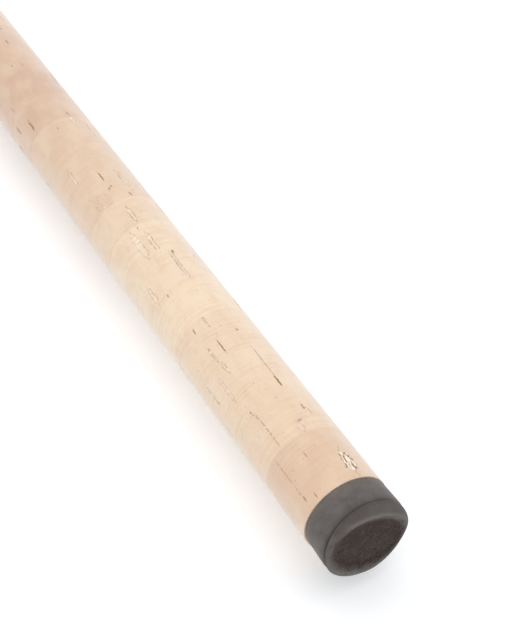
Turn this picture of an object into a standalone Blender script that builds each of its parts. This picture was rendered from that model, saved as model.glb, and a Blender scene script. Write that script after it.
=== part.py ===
"""A travel spinning rod in four sections, lying along +X with its butt at -X.

Its guides and its reel side face +Y, and z = 0 is under the reel seat's hoods. Every place along the rod
is a distance from the butt end. A mesh is drawn as the rod is held in use, reel side down, and the empty
that carries the rod turns that side to +Y.
"""

import math

import bmesh
import bpy
from mathutils import Matrix, Vector

MM = 0.001
# between pieces that touch on the real rod
GAP = 0.3 * MM
ROD_LENGTH = 1829 * MM

# The handle, from the butt end
GRIP_RADIUS = 9.5 * MM
CAP_LENGTH = 9.1 * MM
CAP_SOCKET_START = 4.8 * MM
REAR_GRIP_END = 225.5 * MM
# the eight rings nearest the butt, as they measure in the photograph, then rings of the trade's half inch
BUTT_RING_THICKNESSES = tuple(t * MM for t in (15.0, 13.2, 14.2, 13.3, 11.5, 11.9, 11.8, 10.6))
PLAIN_REAR_RINGS = 9
CORK_RING_THICKNESS = 12.7 * MM
CORK_BORE_RADIUS = 5.6 * MM
TRIM_RING_LENGTH = 3 * MM
TRIM_RING_RADIUS = 10.1 * MM
SEAT_LENGTH = 108 * MM
FRONT_RINGS = 5
FRONT_GRIP_END_RADIUS = 6.9 * MM
WINDING_CHECK_LENGTH = 3.2 * MM

# The reel seat, with places from its own rear end
BARREL_RADIUS = 8.7 * MM
BARREL_BORE = 7.4 * MM
SEAT_COLLAR = (2.2 * MM, 9.9 * MM)
HOOD_RADIUS = 12.7 * MM
HOOD_WALL = 1.1 * MM
# a hood's round is this far off the rod's axis, towards the reel
HOOD_DROP = 2.4 * MM
HOOD_BORE = 9.2 * MM
HOOD_LENGTH = 19.5 * MM
FIXED_HOOD_START = 2.5 * MM
SLIDING_HOOD_END = 86 * MM
NUT_RADIUS = 12.7 * MM
NUT_LENGTH = 12 * MM
NUT_KNURLS = 24
KNURL_DEPTH = 0.5 * MM
FOOT_BED_DROP = 8.9 * MM
FOOT_BED_DEPTH = 5 * MM
FOOT_BED_BEVEL = 0.6 * MM
FOOT_BED_WIDTH = 11 * MM
FOOT_BED_SPAN = (9 * MM, 61 * MM)
ARBOR_STARTS = (14 * MM, 78 * MM)
ARBOR_LENGTH = 14 * MM

# The blank: (distance from the butt, outer radius) along each section, and its wall
FERRULE_OVERLAP = 45 * MM
SECTION_OUTLINES = (
    ((5.5 * MM, 5.25 * MM), (495 * MM, 4.05 * MM)),
    ((450 * MM, 5.2 * MM), (500 * MM, 4.75 * MM), (955 * MM, 2.95 * MM)),
    ((910 * MM, 4.1 * MM), (960 * MM, 3.6 * MM), (1405 * MM, 1.95 * MM)),
    ((1360 * MM, 3.05 * MM), (1410 * MM, 2.5 * MM), (1823 * MM, 0.8 * MM)),
)
BLANK_WALL = 0.75 * MM
TIP_BORE_END = 1560 * MM
TIP_BORE_RADIUS = 0.7 * MM
FERRULE_WRAP_LENGTH = 16 * MM
WRAP_THICKNESS = 0.6 * MM
# thread that runs on past a foot's toe, and the foot left bare at its heel
THREAD_PAST_TOE = 2 * MM
BARE_HEEL = 1 * MM

# Guides: (section, place, ring size, height of the ring's centre over the rod's axis, two feet)
GUIDES = (
    (2, 700 * MM, 20 * MM, 22 * MM, True),
    (3, 1030 * MM, 12 * MM, 14.5 * MM, True),
    (3, 1275 * MM, 8 * MM, 10 * MM, False),
    (4, 1490 * MM, 7 * MM, 8.5 * MM, False),
    (4, 1665 * MM, 6 * MM, 7.2 * MM, False),
)
TIP_RING_SIZE = 6 * MM
TIP_RING_DROP = 5.3 * MM
TIP_TUBE_LENGTH = 12 * MM

# Sides of the round pieces
HANDLE_SIDES = 24
SEAT_SIDES = 32
BLANK_SIDES = 16
RING_SIDES = 24
# round the section of a guide's frame or ring
WIRE_SIDES = 6

BUTT_RINGS_END = CAP_LENGTH + sum(BUTT_RING_THICKNESSES)
PLAIN_RING_THICKNESS = (REAR_GRIP_END - BUTT_RINGS_END) / PLAIN_REAR_RINGS
REAR_RING_THICKNESSES = BUTT_RING_THICKNESSES + (PLAIN_RING_THICKNESS,) * PLAIN_REAR_RINGS
SEAT_START = REAR_GRIP_END + TRIM_RING_LENGTH + GAP
FRONT_GRIP_START = SEAT_START + SEAT_LENGTH + GAP
FRONT_GRIP_END = FRONT_GRIP_START + FRONT_RINGS * CORK_RING_THICKNESS
KEEPER_PLACE = FRONT_GRIP_END + WINDING_CHECK_LENGTH + 16 * MM


def guide_wire_radius(size):
    """The frame's wire, 0.55 mm for the small rings and 0.8 mm for the largest."""
    return 0.45 * MM + 0.0175 * size


def guide_reach(size, height):
    """From the rod's axis to the far side of a guide's frame."""
    return height + size / 2 + GAP + 2 * guide_wire_radius(size)


def ring_half_width(size):
    """Half a ceramic ring's length along the rod."""
    return 0.6 * MM + 0.035 * size


# z = 0 under the hoods, and the object's box centred on x = 0 and y = 0
AXIS_HEIGHT = HOOD_RADIUS
AXIS_SIDE = (NUT_RADIUS - max(guide_reach(size, height) for _, _, size, height, _ in GUIDES)) / 2


# Materials


def finish(name, colour, roughness, metallic=0.0):
    made = bpy.data.materials.new(name)
    made.use_nodes = True
    shader = made.node_tree.nodes["Principled BSDF"]
    shader.inputs["Base Color"].default_value = (*colour, 1)
    shader.inputs["Roughness"].default_value = roughness
    shader.inputs["Metallic"].default_value = metallic
    made.diffuse_color = (*colour, 1)
    return made


# Shapes


def turned(outline, sides, centre=(0, 0, 0)):
    """A body turned about a line along X: the outline is (x, radius) points round one side of it."""
    bm = bmesh.new()
    points = [bm.verts.new((x, 0, centre[2] + radius)) for x, radius in outline]
    is_tube = all(radius > 0 for _, radius in outline)
    ends = points[1:] + points[:1] if is_tube else points[1:]
    for start, end in zip(points, ends):
        bm.edges.new((start, end))
    bmesh.ops.spin(
        bm,
        geom=bm.verts[:] + bm.edges[:],
        cent=centre,
        axis=(1, 0, 0),
        angle=2 * math.pi,
        steps=sides,
        use_merge=True,
    )
    return closed(bm)


def lofted(stations, sides):
    """A sleeve through circles, out along its outside and back along its bore: (x, radius, drop) each."""
    bm = bmesh.new()
    x, radius, drop = stations[0]
    place = Matrix.Translation((x, 0, -drop)) @ Matrix.Rotation(math.pi / 2, 4, "Y")
    bmesh.ops.create_circle(bm, segments=sides, radius=radius, matrix=place)
    rim = bm.edges[:]
    for following in stations[1:] + stations[:1]:
        made = bmesh.ops.extrude_edge_only(bm, edges=rim)["geom"]
        verts = {item for item in made if isinstance(item, bmesh.types.BMVert)}
        centre = Matrix.Translation((-x, 0, drop))
        wider = following[1] / radius
        bmesh.ops.scale(bm, vec=(1, wider, wider), space=centre, verts=list(verts))
        bmesh.ops.translate(bm, vec=(following[0] - x, 0, drop - following[2]), verts=list(verts))
        rim = [edge for edge in bm.edges if verts.issuperset(edge.verts)]
        x, radius, drop = following
    return closed(bm)


def block(low, high, bevel=0.0):
    """A block between two corners, its edges rounded by the bevel."""
    bm = bmesh.new()
    low, high = Vector(low), Vector(high)
    place = Matrix.Translation((low + high) / 2) @ Matrix.Diagonal((high - low).to_4d())
    bmesh.ops.create_cube(bm, size=1, matrix=place)
    if bevel:
        edges = bm.edges[:]
        bmesh.ops.bevel(bm, geom=edges, offset=bevel, segments=2, profile=0.5, affect="EDGES")
    return closed(bm)


def wire(points, radius):
    """A bent wire through the points."""
    curve = bpy.data.curves.new("wire", "CURVE")
    curve.dimensions = "3D"
    curve.bevel_depth = radius
    curve.bevel_resolution = 1
    curve.use_fill_caps = True
    spline = curve.splines.new("POLY")
    spline.points.add(len(points) - 1)
    for point, place in zip(spline.points, points):
        point.co = (*place, 1)
    guide = bpy.data.objects.new("wire", curve)
    mesh = bpy.data.meshes.new_from_object(guide)
    bm = bmesh.new()
    bm.from_mesh(mesh)
    bpy.data.objects.remove(guide)
    bpy.data.meshes.remove(mesh)
    return closed(bm)


def closed(bm):
    bmesh.ops.remove_doubles(bm, verts=bm.verts, dist=1e-7)
    bmesh.ops.recalc_face_normals(bm, faces=bm.faces)
    return bm


def tube(length, outer, bore, sides, outer_end=None):
    """A tube from x = 0, whose outside may taper."""
    outer_end = outer if outer_end is None else outer_end
    return turned([(0, outer), (length, outer_end), (length, bore), (0, bore)], sides)


def ring_round(centre_height, radius, section_radius):
    """A ring of round section about a line along X, below the rod's axis by centre_height."""
    outline = [
        (section_radius * math.sin(turn), radius + section_radius * math.cos(turn))
        for turn in (2 * math.pi * step / WIRE_SIDES for step in range(WIRE_SIDES))
    ]
    return turned(outline, RING_SIDES, centre=(0, 0, -centre_height))


# Placing


class Body:
    """Pieces that move as one, carried by an empty on the rod's axis."""

    def __init__(self, name, place, parent=None):
        self.place = place
        self.empty = bpy.data.objects.new(name, None)
        bpy.context.scene.collection.objects.link(self.empty)
        if parent:
            self.empty.parent = parent.empty
            self.empty.location.x = place - parent.place

    def add(self, name, bm, place, material, sharp_angle=40):
        mesh = bpy.data.meshes.new(name)
        bm.to_mesh(mesh)
        bm.free()
        mesh.shade_smooth()
        mesh.set_sharp_from_angle(angle=math.radians(sharp_angle))
        mesh.materials.append(material)
        obj = bpy.data.objects.new(name, mesh)
        bpy.context.scene.collection.objects.link(obj)
        obj.parent = self.empty
        obj.location.x = place - self.place
        return obj

    def join(self, obj, bm, place, operation="UNION"):
        """Joins a shape to a piece, or cuts it away, with a helper that isn't itself part of the rod."""
        helper = self.add(obj.name + "_helper", bm, place, obj.data.materials[0])
        helper.hide_render = True
        helper.display_type = "WIRE"
        boolean = obj.modifiers.new(operation.lower(), "BOOLEAN")
        boolean.operation = operation
        boolean.object = helper
        return helper


# The cork handle and its cap


def butt_cap(rod, foam):
    """A foam cap, flush with the cork: a crease, a rolled rim and a dished end, and a socket for the blank."""
    dish_floor = 0.6 * MM
    dish_radius = 6.2 * MM
    crease = 2.2 * MM
    roll = [(0.1, 6.9), (0.0, 7.3), (0.15, 8.0), (0.5, 8.7), (1.05, 9.2), (1.9, 9.45)]
    outline = [(dish_floor, 0), (dish_floor, dish_radius)]
    outline += [(x * MM, radius * MM) for x, radius in roll]
    outline += [
        (crease, GRIP_RADIUS - 0.2 * MM),
        (crease + 0.35 * MM, GRIP_RADIUS),
        (CAP_LENGTH - GAP, GRIP_RADIUS),
        (CAP_LENGTH - GAP, CORK_BORE_RADIUS),
        (CAP_SOCKET_START, CORK_BORE_RADIUS),
        (CAP_SOCKET_START, 0),
    ]
    rod.add("butt_cap", turned(outline, HANDLE_SIDES), 0, foam)


def rear_grip(rod, cork):
    start = CAP_LENGTH
    for number, thickness in enumerate(REAR_RING_THICKNESSES, 1):
        ring = tube(thickness - GAP, GRIP_RADIUS, CORK_BORE_RADIUS, HANDLE_SIDES)
        rod.add(f"rear_cork_ring_{number:02}", ring, start, cork)
        start += thickness


def front_grip_radius(along):
    """The front grip narrows in a soft S from the seat, 0, to the winding check, 1."""
    eased = along * along * (3 - 2 * along)
    return GRIP_RADIUS + (FRONT_GRIP_END_RADIUS - GRIP_RADIUS) * eased


def front_grip(rod, cork):
    for number in range(FRONT_RINGS):
        wide = front_grip_radius(number / FRONT_RINGS)
        narrow = front_grip_radius((number + 1) / FRONT_RINGS)
        ring = tube(CORK_RING_THICKNESS - GAP, wide, CORK_BORE_RADIUS, HANDLE_SIDES, narrow)
        place = FRONT_GRIP_START + number * CORK_RING_THICKNESS
        rod.add(f"front_cork_ring_{number + 1}", ring, place, cork)


def trims(rod, aluminium):
    trim = turned(
        [
            (0, TRIM_RING_RADIUS - 0.4 * MM),
            (0.4 * MM, TRIM_RING_RADIUS),
            (TRIM_RING_LENGTH - 0.4 * MM, TRIM_RING_RADIUS),
            (TRIM_RING_LENGTH, TRIM_RING_RADIUS - 0.4 * MM),
            (TRIM_RING_LENGTH, CORK_BORE_RADIUS),
            (0, CORK_BORE_RADIUS),
        ],
        HANDLE_SIDES,
    )
    rod.add("seat_trim_ring", trim, REAR_GRIP_END, aluminium)
    check = tube(
        WINDING_CHECK_LENGTH,
        FRONT_GRIP_END_RADIUS,
        blank_radius(FRONT_GRIP_END) + GAP,
        HANDLE_SIDES,
        FRONT_GRIP_END_RADIUS - 1 * MM,
    )
    rod.add("winding_check", check, FRONT_GRIP_END, aluminium)


# The reel seat


def reel_seat(rod, nylon, foam):
    collar_length, collar_radius = SEAT_COLLAR
    barrel = turned(
        [
            (0, collar_radius),
            (collar_length, collar_radius),
            (collar_length, BARREL_RADIUS),
            (SEAT_LENGTH, BARREL_RADIUS),
            (SEAT_LENGTH, BARREL_BORE),
            (0, BARREL_BORE),
        ],
        SEAT_SIDES,
    )
    body = rod.add("reel_seat_body", barrel, SEAT_START, nylon)
    half = FOOT_BED_WIDTH / 2
    bed_start, bed_end = FOOT_BED_SPAN
    bed = block(
        (bed_start, -half, -FOOT_BED_DROP), (bed_end, half, -FOOT_BED_DEPTH), bevel=FOOT_BED_BEVEL
    )
    bed_helper = rod.join(body, bed, SEAT_START)
    inside_wall = (BARREL_RADIUS + BARREL_BORE) / 2
    core = turned(
        [
            (bed_end + 1 * MM, 0),
            (bed_end + 1 * MM, inside_wall),
            (bed_start - 1 * MM, inside_wall),
            (bed_start - 1 * MM, 0),
        ],
        SEAT_SIDES,
    )
    rod.join(bed_helper, core, SEAT_START, "DIFFERENCE")
    for number, start in enumerate(ARBOR_STARTS, 1):
        arbor = tube(ARBOR_LENGTH, BARREL_BORE - GAP, CORK_BORE_RADIUS, HANDLE_SIDES)
        rod.add(f"seat_arbor_{number}", arbor, SEAT_START + start, foam)


def hood():
    """A hood from its wall, at x = 0, to its mouth: the reel's foot goes under its low side."""
    inner = HOOD_RADIUS - HOOD_WALL
    return [
        (0, 10.0 * MM, 0.3 * MM),
        (2.0 * MM, 11.4 * MM, 1.2 * MM),
        (6.5 * MM, HOOD_RADIUS, HOOD_DROP),
        (HOOD_LENGTH, HOOD_RADIUS, HOOD_DROP),
        (HOOD_LENGTH, inner, HOOD_DROP),
        (6.0 * MM, inner, HOOD_DROP),
        (3.3 * MM, HOOD_BORE, 0),
        (0, HOOD_BORE, 0),
    ]


def hoods(rod, slider, steel):
    rod.add("fixed_hood", lofted(hood(), SEAT_SIDES), SEAT_START + FIXED_HOOD_START, steel)
    facing_back = [(-x, radius, drop) for x, radius, drop in hood()]
    slider.add("sliding_hood", lofted(facing_back, SEAT_SIDES), slider.place, steel)


def lock_nut(nut, nylon):
    """A knurled sleeve: every second edge along it stands proud."""
    chamfer = 0.7 * MM
    low = NUT_RADIUS - KNURL_DEPTH
    sleeve = turned(
        [
            (0, low - chamfer),
            (chamfer, low),
            (2 * chamfer, NUT_RADIUS),
            (NUT_LENGTH - 2 * chamfer, NUT_RADIUS),
            (NUT_LENGTH - chamfer, low),
            (NUT_LENGTH, low - chamfer),
            (NUT_LENGTH, HOOD_BORE),
            (0, HOOD_BORE),
        ],
        2 * NUT_KNURLS,
    )
    for vert in sleeve.verts:
        along_rod = Vector((0, vert.co.y, vert.co.z))
        step = round(math.atan2(vert.co.y, vert.co.z) / (math.pi / NUT_KNURLS))
        if along_rod.length > low + KNURL_DEPTH / 2 and step % 2:
            vert.co -= along_rod.normalized() * KNURL_DEPTH
    nut.add("lock_nut", sleeve, nut.place, nylon, sharp_angle=15)


# The blank


def blank_radius(place):
    """The outer radius of the rod's outermost section at this place."""
    outline = [points for points in SECTION_OUTLINES if points[0][0] <= place][-1]
    for (start, wide), (end, narrow) in zip(outline, outline[1:]):
        if place <= end:
            return wide + (narrow - wide) * (place - start) / (end - start)
    return outline[-1][1]


def ferrule_socket(male, outside):
    """The socket's bore from its mouth inwards, a gap clear of the section before, whose end it takes."""
    (male_from, male_wide), (male_end, male_narrow) = male[-2:]
    taper = (male_narrow - male_wide) / (male_end - male_from)
    mouth = male_narrow - taper * FERRULE_OVERLAP + GAP
    depth = FERRULE_OVERLAP + 1 * MM
    throat = outside[1][1] - 2 * BLANK_WALL
    return [(0, mouth), (depth, male_narrow + GAP), (depth + 4 * MM, throat)]


def blank_sections(bodies, carbon):
    """Hollow sections, each pushed over the end of the one before it. The last is solid towards its tip."""
    for number, (body, outline) in enumerate(zip(bodies, SECTION_OUTLINES), 1):
        start, end = outline[0][0], outline[-1][0]
        outside = [(place - start, radius) for place, radius in outline]
        bore = [(0, outline[0][1] - BLANK_WALL)]
        if number > 1:
            bore = ferrule_socket(SECTION_OUTLINES[number - 2], outside)
        if number < len(SECTION_OUTLINES):
            outside.append((end - start, outline[-1][1] - BLANK_WALL))
        else:
            bore_end = TIP_BORE_END - start
            bore += [(bore_end - 2 * MM, TIP_BORE_RADIUS), (bore_end, 0)]
            outside.append((end - start, 0))
        body.add(f"blank_section_{number}", turned(bore[::-1] + outside, BLANK_SIDES), start, carbon)


def wrap(body, name, start, length, thread, bed=None):
    """A thread wrap round the blank, slotted where a guide's foot lies under it: bed is (from, to, width)."""
    inner = blank_radius(start) + GAP
    outer = inner + WRAP_THICKNESS
    sleeve = turned(
        [
            (0, outer - WRAP_THICKNESS / 2),
            (WRAP_THICKNESS, outer),
            (length - WRAP_THICKNESS, outer),
            (length, outer - WRAP_THICKNESS / 2),
            (length, inner),
            (0, inner),
        ],
        BLANK_SIDES,
    )
    obj = body.add(name, sleeve, start, thread)
    if bed:
        bed_start, bed_end, width = bed
        half = width / 2 + GAP
        slot = block((bed_start, -half, -2 * outer), (bed_end, half, -inner / 2))
        body.join(obj, slot, 0, "DIFFERENCE")


# Guides


class GuideSizes:
    """The sizes of one guide's frame, from its ring size."""

    def __init__(self, size):
        self.wire = guide_wire_radius(size)
        self.frame_radius = size / 2 + GAP + self.wire
        self.leg = self.wire * 0.75
        self.leg_spread = self.leg + 0.2 * MM
        self.leg_tail = 1.5 * MM
        self.foot_thickness = 0.6 * MM
        self.foot_width = 1.5 * MM + 0.04 * size
        self.foot_length = 6.5 * MM + 0.15 * size

    def foot_top(self, place):
        return blank_radius(place) + GAP + self.foot_thickness

    def leg_end(self, place):
        return blank_radius(place) + GAP + self.leg


def ceramic_ring(body, name, place, size, height, ceramic):
    """A ring of rounded section whose bore is about three quarters of its size."""
    wall = 0.76 * MM + 0.048 * size
    half_width = ring_half_width(size)
    outer, inner = size / 2, size / 2 - wall
    outline = [
        (-half_width * 0.6, outer),
        (half_width * 0.6, outer),
        (half_width, (outer + inner) / 2),
        (half_width * 0.45, inner),
        (-half_width * 0.45, inner),
        (-half_width, (outer + inner) / 2),
    ]
    body.add(name, turned(outline, RING_SIDES, centre=(0, 0, -height)), place, ceramic)


def guide(body, number, place, size, height, two_feet, steel, ceramic, thread):
    """A ring on two legs that lean to the tip, and a third that goes back, or on a small guide ahead."""
    sizes = GuideSizes(size)
    name = f"guide_{number}"
    frame = body.add(f"{name}_frame", ring_round(height, sizes.frame_radius, sizes.wire), place, steel)
    side = math.radians(62)
    landing = 0.55 * height
    ahead = landing + sizes.leg_tail
    lie = -sizes.leg_end(place + landing)
    for hand in (-1, 1):
        leaves = (
            0,
            hand * sizes.frame_radius * math.sin(side),
            -height + sizes.frame_radius * math.cos(side),
        )
        spread = hand * sizes.leg_spread
        leg = wire([leaves, (landing, spread, lie), (ahead, spread, lie)], sizes.leg)
        body.join(frame, leg, place)
    under_ring = (0, 0, -height + sizes.frame_radius)
    if two_feet:
        lie = -sizes.leg_end(place - landing)
        brace = [under_ring, (-landing, 0, lie), (-ahead, 0, lie)]
    else:
        brace = [under_ring, (0.8 * landing, 0, lie), (ahead, 0, lie)]
    body.join(frame, wire(brace, sizes.leg), place)
    for foot_number, direction in enumerate((1, -1) if two_feet else (1,), 1):
        low, high = sorted((direction * landing, direction * (landing + sizes.foot_length)))
        legs_reach = sizes.leg_spread + sizes.leg if direction > 0 else sizes.leg
        half = max(sizes.foot_width / 2, legs_reach)
        top = -sizes.foot_top(place)
        body.join(frame, block((low, -half, top), (high, half, top + sizes.foot_thickness)), place)
        wrap_start = place + low + (BARE_HEEL if direction > 0 else -THREAD_PAST_TOE)
        wrap_length = sizes.foot_length - BARE_HEEL + THREAD_PAST_TOE
        bed = (place + low - GAP, place + high + GAP, 2 * half)
        wrap(body, f"{name}_wrap_{foot_number}", wrap_start, wrap_length, thread, bed)
    ceramic_ring(body, f"{name}_ring", place, size, height, ceramic)


def tip_top(body, steel, ceramic):
    """A tube over the blank's tip that carries the last ring, which stands at the rod's very end."""
    wire_radius = guide_wire_radius(TIP_RING_SIZE)
    place = ROD_LENGTH - ring_half_width(TIP_RING_SIZE)
    frame_radius = TIP_RING_SIZE / 2 + GAP + wire_radius
    frame = body.add(
        "tip_top_frame", ring_round(TIP_RING_DROP, frame_radius, wire_radius), place, steel
    )
    tip_end = SECTION_OUTLINES[-1][-1][0]
    bore = blank_radius(tip_end - TIP_TUBE_LENGTH) + GAP
    outer = bore + 0.45 * MM
    closed_end = 0.6 * wire_radius
    socket_end = tip_end + GAP - place
    tip_tube = turned(
        [
            (socket_end, 0),
            (socket_end, bore),
            (-TIP_TUBE_LENGTH, bore),
            (-TIP_TUBE_LENGTH, outer),
            (0, outer),
            (closed_end, 0.6 * outer),
            (closed_end, 0),
        ],
        BLANK_SIDES,
    )
    body.join(frame, tip_tube, place)
    leaves, lands = math.radians(80), math.radians(51)
    for hand in (-1, 1):
        on_ring = (
            0,
            hand * frame_radius * math.sin(leaves),
            -TIP_RING_DROP + frame_radius * math.cos(leaves),
        )
        on_tube = (
            -0.8 * TIP_TUBE_LENGTH,
            hand * outer * math.sin(lands),
            -outer * math.cos(lands),
        )
        body.join(frame, wire([on_ring, on_tube], 0.75 * wire_radius), place)
    ceramic_ring(body, "tip_top_ring", place, TIP_RING_SIZE, TIP_RING_DROP, ceramic)


def hook_keeper(rod, steel, thread):
    """A low wire loop for the hook, with a foot under a wrap at each side."""
    wire_radius = 0.5 * MM
    loop_radius = 2.9 * MM
    foot = 7 * MM
    arch_steps = 8
    lie = -(blank_radius(KEEPER_PLACE) + GAP + wire_radius)
    arch = [
        (loop_radius * math.cos(turn), 0, lie - loop_radius * math.sin(turn))
        for turn in (math.pi * (1 - step / arch_steps) for step in range(arch_steps + 1))
    ]
    toe = loop_radius + foot
    keeper = wire([(-toe, 0, lie)] + arch + [(toe, 0, lie)], wire_radius)
    rod.add("hook_keeper", keeper, KEEPER_PLACE, steel)
    bed = (KEEPER_PLACE - toe - GAP, KEEPER_PLACE + toe + GAP, 2 * wire_radius)
    length = foot - BARE_HEEL + THREAD_PAST_TOE
    for number, start in enumerate((-toe - THREAD_PAST_TOE, loop_radius + BARE_HEEL), 1):
        wrap(rod, f"hook_keeper_wrap_{number}", KEEPER_PLACE + start, length, thread, bed)


def main():
    for obj in list(bpy.data.objects):
        bpy.data.objects.remove(obj)

    cork = finish("cork", (0.83, 0.66, 0.48), 0.8)
    foam = finish("dark_foam", (0.075, 0.068, 0.062), 0.85)
    pale_foam = finish("pale_foam", (0.55, 0.53, 0.48), 0.9)
    aluminium = finish("dark_aluminium", (0.12, 0.12, 0.125), 0.35, 1)
    nylon = finish("black_nylon", (0.03, 0.03, 0.032), 0.5)
    steel = finish("steel", (0.62, 0.62, 0.63), 0.25, 1)
    carbon = finish("graphite_blank", (0.035, 0.037, 0.042), 0.25)
    ceramic = finish("ceramic", (0.06, 0.06, 0.065), 0.15)
    thread = finish("wrap_thread", (0.05, 0.035, 0.03), 0.2)

    rod = Body("rod", 0)
    slider = Body("hood_slide", SEAT_START + SLIDING_HOOD_END, rod)
    nut = Body("nut_turn", slider.place + GAP, slider)
    sections = [rod]
    for outline in SECTION_OUTLINES[1:]:
        sections.append(Body(f"section_{len(sections) + 1}", outline[0][0], sections[-1]))

    butt_cap(rod, foam)
    rear_grip(rod, cork)
    front_grip(rod, cork)
    trims(rod, aluminium)
    reel_seat(rod, nylon, pale_foam)
    hoods(rod, slider, steel)
    lock_nut(nut, nylon)
    hook_keeper(rod, steel, thread)
    blank_sections(sections, carbon)
    for number, (body, outline) in enumerate(zip(sections[1:], SECTION_OUTLINES[1:]), 2):
        mouth = outline[0][0] + 2 * MM
        wrap(body, f"ferrule_wrap_{number}", mouth, FERRULE_WRAP_LENGTH, thread)
    for number, (section, place, size, height, two_feet) in enumerate(GUIDES, 1):
        body = sections[section - 1]
        guide(body, number, place, size, height, two_feet, steel, ceramic, thread)
    tip_top(sections[-1], steel, ceramic)

    rod.empty.rotation_euler.x = math.pi / 2
    rod.empty.location = (-ROD_LENGTH / 2, AXIS_SIDE, AXIS_HEIGHT)


main()
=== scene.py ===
"""The looks of a travel spinning rod, dressed round its CAD model in the order in which a rod is built.

Places along the rod are in millimetres from its butt end. The rod lies on a table with its reel side, and
its guides, towards +Y.
"""

from functools import partialmethod
from math import atan2, copysign, cos, exp, hypot, pi, radians, sin

import bmesh
import bpy
import numpy as np
from mathutils import Matrix, Vector


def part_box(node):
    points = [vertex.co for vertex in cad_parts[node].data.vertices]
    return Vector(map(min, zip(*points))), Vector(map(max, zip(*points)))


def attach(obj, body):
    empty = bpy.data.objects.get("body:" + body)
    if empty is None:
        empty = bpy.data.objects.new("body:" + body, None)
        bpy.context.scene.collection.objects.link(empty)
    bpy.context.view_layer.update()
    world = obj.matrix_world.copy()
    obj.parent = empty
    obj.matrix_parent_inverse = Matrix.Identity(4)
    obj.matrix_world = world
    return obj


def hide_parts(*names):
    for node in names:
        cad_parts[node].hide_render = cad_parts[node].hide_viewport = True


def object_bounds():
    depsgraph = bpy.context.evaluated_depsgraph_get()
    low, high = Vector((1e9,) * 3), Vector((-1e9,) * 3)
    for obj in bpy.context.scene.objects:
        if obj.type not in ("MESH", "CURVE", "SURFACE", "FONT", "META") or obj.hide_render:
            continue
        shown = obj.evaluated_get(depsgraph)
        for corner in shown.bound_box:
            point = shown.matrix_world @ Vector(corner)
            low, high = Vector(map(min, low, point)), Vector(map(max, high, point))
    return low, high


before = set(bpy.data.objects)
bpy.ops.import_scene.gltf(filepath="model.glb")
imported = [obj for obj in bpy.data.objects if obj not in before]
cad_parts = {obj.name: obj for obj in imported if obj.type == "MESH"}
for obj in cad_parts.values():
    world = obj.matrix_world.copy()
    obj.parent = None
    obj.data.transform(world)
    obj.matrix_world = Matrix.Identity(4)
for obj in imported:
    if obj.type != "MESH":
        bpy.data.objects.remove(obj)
cad_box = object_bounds()

# Blank. Four hollow sections of graphite cloth, rolled on a tapered steel mandrel, baked, ground and clear
# coated. All but the first swell at the butt end into a socket that pushes over the section before. Marks of
# the shrink tape that held the cloth in the oven run round it as a shallow spiral under the coat.
MM = 0.001
BUTT_END = cad_box[0].x
AXIS = sum(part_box("butt_cap"), Vector()) / 2
# the gap that the CAD keeps between pieces that touch
CAD_GAP = 0.3
# edges that turn by more degrees than this stay sharp, and points closer than this are joined
SHARP_ANGLE, WELD = 35, 1e-7
BLANK_WALL, BLANK_EDGE = 0.75, 0.25
# (place, radius) along each section: its butt, the end of its socket's swell, its tip
BLANKS = (
    ((5.5, 5.25), (495, 4.05)),
    ((450, 5.2), (500, 4.75), (955, 2.95)),
    ((910, 4.1), (960, 3.6), (1405, 1.95)),
    ((1360, 3.05), (1410, 2.5), (1823, 0.8)),
)
SECTION_BODIES = ("butt_section", "second_section", "third_section", "tip_section")
SOCKET_DEPTH = 46
SWELL_LENGTH, SWELL_STEPS = 8, 8
# a socket's bore narrows to the blank's own over this length
THROAT_LENGTH = 4
# the last section is solid for this length from its tip, and its bore narrows to this, then to a point
TIP_SOLID, TIP_BORE, POINT_LENGTH = 260, 0.6, 2
BLANK_SIDES = 48


def blank_radius(place):
    """The outer radius of the rod's outermost section at this place."""
    outline = [points for points in BLANKS if points[0][0] <= place][-1]
    for (start, wide), (end, narrow) in zip(outline, outline[1:]):
        if place <= end:
            return wide + (narrow - wide) * (place - start) / (end - start)
    return outline[-1][1]


def evenly(start, end, steps):
    """Values from start to end in equal steps, both included."""
    return [start + (end - start) * step / steps for step in range(steps + 1)]


def closed(bm):
    """The same bmesh with its seams joined and all its faces turned outwards."""
    bmesh.ops.remove_doubles(bm, verts=bm.verts, dist=WELD)
    bmesh.ops.recalc_face_normals(bm, faces=bm.faces)
    return bm


def turned(outline, sides, centre=AXIS):
    """Turns an outline about a line along X: (place, radius) points, once round the piece's wall."""
    bm = bmesh.new()
    points = [
        bm.verts.new((BUTT_END + place * MM, centre.y, centre.z + radius * MM))
        for place, radius in outline
    ]
    is_tube = all(radius > 0 for _, radius in outline)
    ends = points[1:] + points[:1] if is_tube else points[1:]
    for start, end in zip(points, ends):
        bm.edges.new((start, end))
    # an eighth of the turn at a time, which is many times quicker than a full one on a fine mesh
    spun = {"cent": centre, "axis": (1, 0, 0), "use_merge": False}
    eighth = pi / 4
    bmesh.ops.spin(bm, geom=bm.verts[:] + bm.edges[:], angle=eighth, steps=sides // 8, **spun)
    sector = bm.verts[:] + bm.edges[:] + bm.faces[:]
    bmesh.ops.spin(bm, geom=sector, angle=7 * eighth, steps=7, use_duplicate=True, **spun)
    return closed(bm)


def placed(name, data):
    """A new object in the scene."""
    made = bpy.data.objects.new(name, data)
    bpy.context.scene.collection.objects.link(made)
    return made


def as_mesh(name, bm, *materials):
    mesh = bpy.data.meshes.new(name)
    bm.to_mesh(mesh)
    bm.free()
    for material in materials:
        mesh.materials.append(material)
    return mesh


def add_piece(name, bm, material, body, slot, *nodes):
    """Makes a finished mesh a piece of the rod that stands for these CAD nodes."""
    mesh = as_mesh(name, bm, material)
    mesh.shade_smooth()
    mesh.set_sharp_from_angle(angle=radians(SHARP_ANGLE))
    piece = placed(name, mesh)
    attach(piece, body)
    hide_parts(*nodes)
    return piece


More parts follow.
